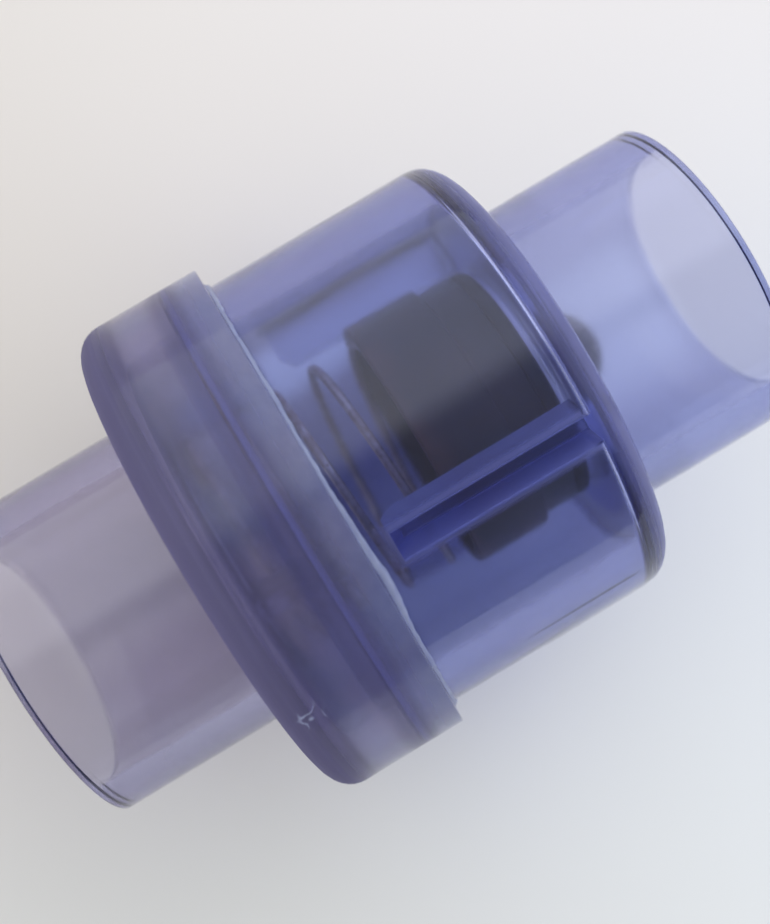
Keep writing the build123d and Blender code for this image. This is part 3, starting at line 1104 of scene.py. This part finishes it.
def spring_point(turned):
    """Centre of the wire after so many turns from the outlet end."""
    start, end = WEB_INSIDE + WIRE_R, SPRING_LEDGE - WIRE_R
    closed_rise = CLOSED_PITCH * CLOSED_COILS
    active_rise = end - start - 2 * closed_rise
    if turned < CLOSED_COILS:
        x = start + CLOSED_PITCH * turned
    elif turned > CLOSED_COILS + ACTIVE_COILS:
        x = end - CLOSED_PITCH * (COILS - turned)
    else:
        x = start + closed_rise + active_rise * (turned - CLOSED_COILS) / ACTIVE_COILS
    angle = math.radians(SPRING_START_ANGLE) + 2 * math.pi * turned
    return Vector((x, -COIL_R * math.sin(angle), COIL_R * math.cos(angle)))


def coil_spring():
    """Round wire along the coil, with closely wound coils at each end."""
    steps, sides = round(COILS * STEPS_PER_COIL), WIRE_SIDES
    verts, faces = [], []
    for step in range(steps + 1):
        turned = COILS * step / steps
        centre = spring_point(turned)
        before, after = spring_point(max(0, turned - 0.01)), spring_point(min(COILS, turned + 0.01))
        ahead = (after - before).normalized()
        out = Vector((0, centre.y, centre.z)).normalized()
        side = ahead.cross(out).normalized()
        out = side.cross(ahead)
        for k in range(sides):
            angle = 2 * math.pi * k / sides
            spot = centre + (out * math.cos(angle) + side * math.sin(angle)) * WIRE_R
            verts.append(spot)
    for step in range(steps):
        for k in range(sides):
            after = (k + 1) % sides
            low, high = step * sides, (step + 1) * sides
            faces.append([low + k, low + after, high + after, high + k])
    faces.append(list(range(sides)))
    faces.append([steps * sides + k for k in range(sides)])
    return mesh_object("coil_spring", verts, faces)


# ---------------------------------------------------------------- stage, light, camera


def stripe(tree, y, middle_mm, half_mm):
    """1 along a line beside the axis, falling softly to 0."""
    off = maths(tree, "ABSOLUTE", maths(tree, "SUBTRACT", y, middle_mm * MM))
    return ramp(tree, off, 0.35 * half_mm * MM, half_mm * MM, 1.0, 0.0)


def stretch_of_x(tree, x, start, end):
    """1 between two places along the axis, with soft ends."""
    soft = 5 * MM
    rise = ramp(tree, x, start * MM - soft, start * MM + soft)
    fall = ramp(tree, x, end * MM - soft, end * MM + soft, 1.0, 0.0)
    return maths(tree, "MULTIPLY", rise, fall)


def painted_focused_glow(tree, parts):
    """Painted light on the table: a glow that stands in for the light the clear walls focus there,
    a stripe under each tube, two under the chamber and one under the collar. It shows only through
    the walls, so never beside the valve.
    """
    inside_seam = SEAM - 4
    stripes = (
        # start and end along X, middle and half width across, strength
        (CHAMBER_FACE, INLET_END + 5, 1, 29, 0.3),
        (OUTLET_END - 5, COLLAR_FACE, 8, 28, 0.12),
        (inside_seam, WALL_INSIDE, 37, 14, 0.6),
        (inside_seam, WALL_INSIDE, -37, 13, 0.1),
        (COLLAR_FACE, inside_seam, 37, 14, 0.35),
    )
    total = 0.0
    for start, end, middle, half, strength in stripes:
        along = stretch_of_x(tree, parts["X"], start, end)
        patch = maths(tree, "MULTIPLY", stripe(tree, parts["Y"], middle, half), along)
        total = maths(tree, "ADD", total, maths(tree, "MULTIPLY", patch, strength))
    seen_through = add(tree, "LightPath").outputs["Is Transmission Ray"]
    return maths(tree, "MULTIPLY", total, seen_through)


def floor():
    """A pale matt table top with painted light and shade: darker and warmer towards the outlet,
    away from the brightest light, and paler and cooler towards the inlet; a painted tint, warmer on
    the +Y side and cooler on the -Y side; and a painted glow under the clear walls.
    """
    half = TABLE_HALF
    level = CAD_LOW.z / MM - 0.05
    verts = [(-half, -half, level), (half, -half, level), (half, half, level), (-half, half, level)]
    table = mesh_object("table_top", verts, [(0, 1, 2, 3)])
    made, tree, output, place = material("table_white")
    parts = add(tree, "SeparateXYZ", {"Vector": place}).outputs
    # painted shade: the table is darker and warmer towards the outlet (-X) end, away from the
    # brightest light
    share = ramp(tree, parts["X"], -0.12, 0.12)
    tint = colour_mix(tree, share, (0.73, 0.717, 0.672), (0.86, 0.868, 0.885))
    # painted light tint: warmer on the +Y side, towards the window light, and cooler on the -Y side
    painted_light_side = ramp(tree, parts["Y"], -0.08, 0.08)
    shade = colour_mix(tree, painted_light_side, (0.905, 0.93, 0.955), (0.935, 0.895, 0.885))
    colour = colour_product(tree, tint, shade)
    grain = cloud(tree, place, 700, 3)
    skin = add(tree, "BsdfPrincipled", {
        "Base Color": colour, "Roughness": 0.7, "Normal": bump(tree, grain, 0.02, 0.3),
        # painted light: the table glows where the walls would focus light on it
        "Emission Color": (0.88, 1.0, 0.85, 1), "Emission Strength": painted_focused_glow(tree, parts),
    }).outputs[0]
    tree.links.new(skin, output.inputs["Surface"])
    table.data.materials.append(made)


def sky():
    """Soft room light. What lights matt surfaces comes mostly from the +X end. What the clear walls
    mirror is bright on the +Y side, from just past overhead, and dim on the other.
    """
    world = bpy.data.worlds.new("room")
    bpy.context.scene.world = world
    world.use_nodes = True
    tree = world.node_tree
    tree.nodes.clear()
    output = tree.nodes.new("ShaderNodeOutputWorld")
    way = add(tree, "TexCoord").outputs["Generated"]
    parts = add(tree, "SeparateXYZ", {"Vector": way}).outputs
    away = maths(tree, "MULTIPLY", parts["X"], -1.0)
    far_side = ramp(tree, parts["Y"], 0.03, 0.30)
    window = ramp(tree, parts["Y"], 0.75, 0.93)
    right_side = ramp(tree, parts["X"], 0.35, 0.6)
    left_side = ramp(tree, away, 0.35, 0.7)
    sides = (far_side, window, right_side, left_side)
    lit = weighted(tree, 0.35, *zip(sides, (0.65, 0.4, 2.0, 0.6)))
    mirrored = weighted(tree, 0.24, *zip(sides, (1.0, 0.3, 0.25, 0.2)))
    rays = add(tree, "LightPath").outputs
    seen = maths(tree, "MAXIMUM", rays["Is Glossy Ray"], rays["Is Transmission Ray"])
    seen = maths(tree, "MAXIMUM", seen, rays["Is Camera Ray"])
    strength = add(tree, "Mix", {"Factor": seen, 2: lit, 3: mirrored}).outputs[0]
    side = ramp(tree, parts["X"], -0.8, 0.8)
    colour = colour_mix(tree, side, (1.0, 0.975, 0.94), (0.94, 0.97, 1.0))
    glow = add(tree, "Background", {"Color": colour, "Strength": strength}).outputs[0]
    tree.links.new(glow, output.inputs["Surface"])


def camera():
    """Straight above the seam, close, aimed a little towards the chamber. The axis rises right."""
    aim = Vector((SEAM + CAMERA_AIM, 0, 0)) * MM
    spot = Vector((SEAM, 0, CAMERA_HEIGHT)) * MM
    right = Vector((math.cos(CAMERA_TURN), -math.sin(CAMERA_TURN), 0))
    back = (spot - aim).normalized()
    right = (right - back * right.dot(back)).normalized()
    up = back.cross(right)
    data = bpy.data.cameras.new("camera")
    data.sensor_width = 36
    data.lens = LENS
    data.clip_start = 0.01
    sharp = bpy.data.objects.new("sharpest_place", None)
    sharp.location = Vector((SEAM + SHARPEST_X, 0, SHARPEST_HEIGHT)) * MM
    bpy.context.scene.collection.objects.link(sharp)
    data.dof.use_dof = True
    data.dof.focus_object = sharp
    data.dof.aperture_fstop = data.lens / APERTURE
    view = bpy.data.objects.new("camera", data)
    view.matrix_world = Matrix((
        (right.x, up.x, back.x, spot.x), (right.y, up.y, back.y, spot.y),
        (right.z, up.z, back.z, spot.z), (0, 0, 0, 1),
    ))
    bpy.context.scene.collection.objects.link(view)
    bpy.context.scene.camera = view


def finish_piece(obj, body, node, skin):
    """Gives a piece its material and its CAD body, and hides the CAD node that it stands for."""
    obj.data.materials.clear()
    obj.data.materials.append(skin)
    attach(obj, body)
    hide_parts(node)


def build():
    """Every piece, its material, the body it rides on and the CAD node that it stands for."""
    cup_skin = black_plastic("poppet_plastic", rusty_from=CUP_RIM)
    steel = stainless("fastener_steel")
    finish_piece(chamber_shell(), "housing", "chamber_body", chamber_pvc())
    finish_piece(outlet_shell(), "housing", "outlet_cap", outlet_pvc())
    finish_piece(cement_seam(), "housing", "cement_joint", cured_cement("cement"))
    finish_piece(poppet_cup(), "poppet", "poppet_cup", cup_skin)
    finish_piece(rubber_disc(), "poppet", "seal_disc", black_rubber("seal_rubber"))
    nose_skin = black_plastic("retainer_plastic", lighter=5.0)
    finish_piece(nose_retainer(), "poppet", "seal_retainer", nose_skin)
    finish_piece(washer(), "poppet", "retainer_washer", steel)
    finish_piece(screw(), "poppet", "retainer_screw", steel)
    spring = coil_spring()
    finish_piece(spring, "housing", "spring", spring_wire("spring_steel"))
    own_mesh(spring)


build()
floor()
sky()
camera()

scene = bpy.context.scene
scene.view_settings.view_transform = "Standard"
scene.cycles.max_bounces = 24
scene.cycles.transmission_bounces = 24
scene.cycles.transparent_max_bounces = 32
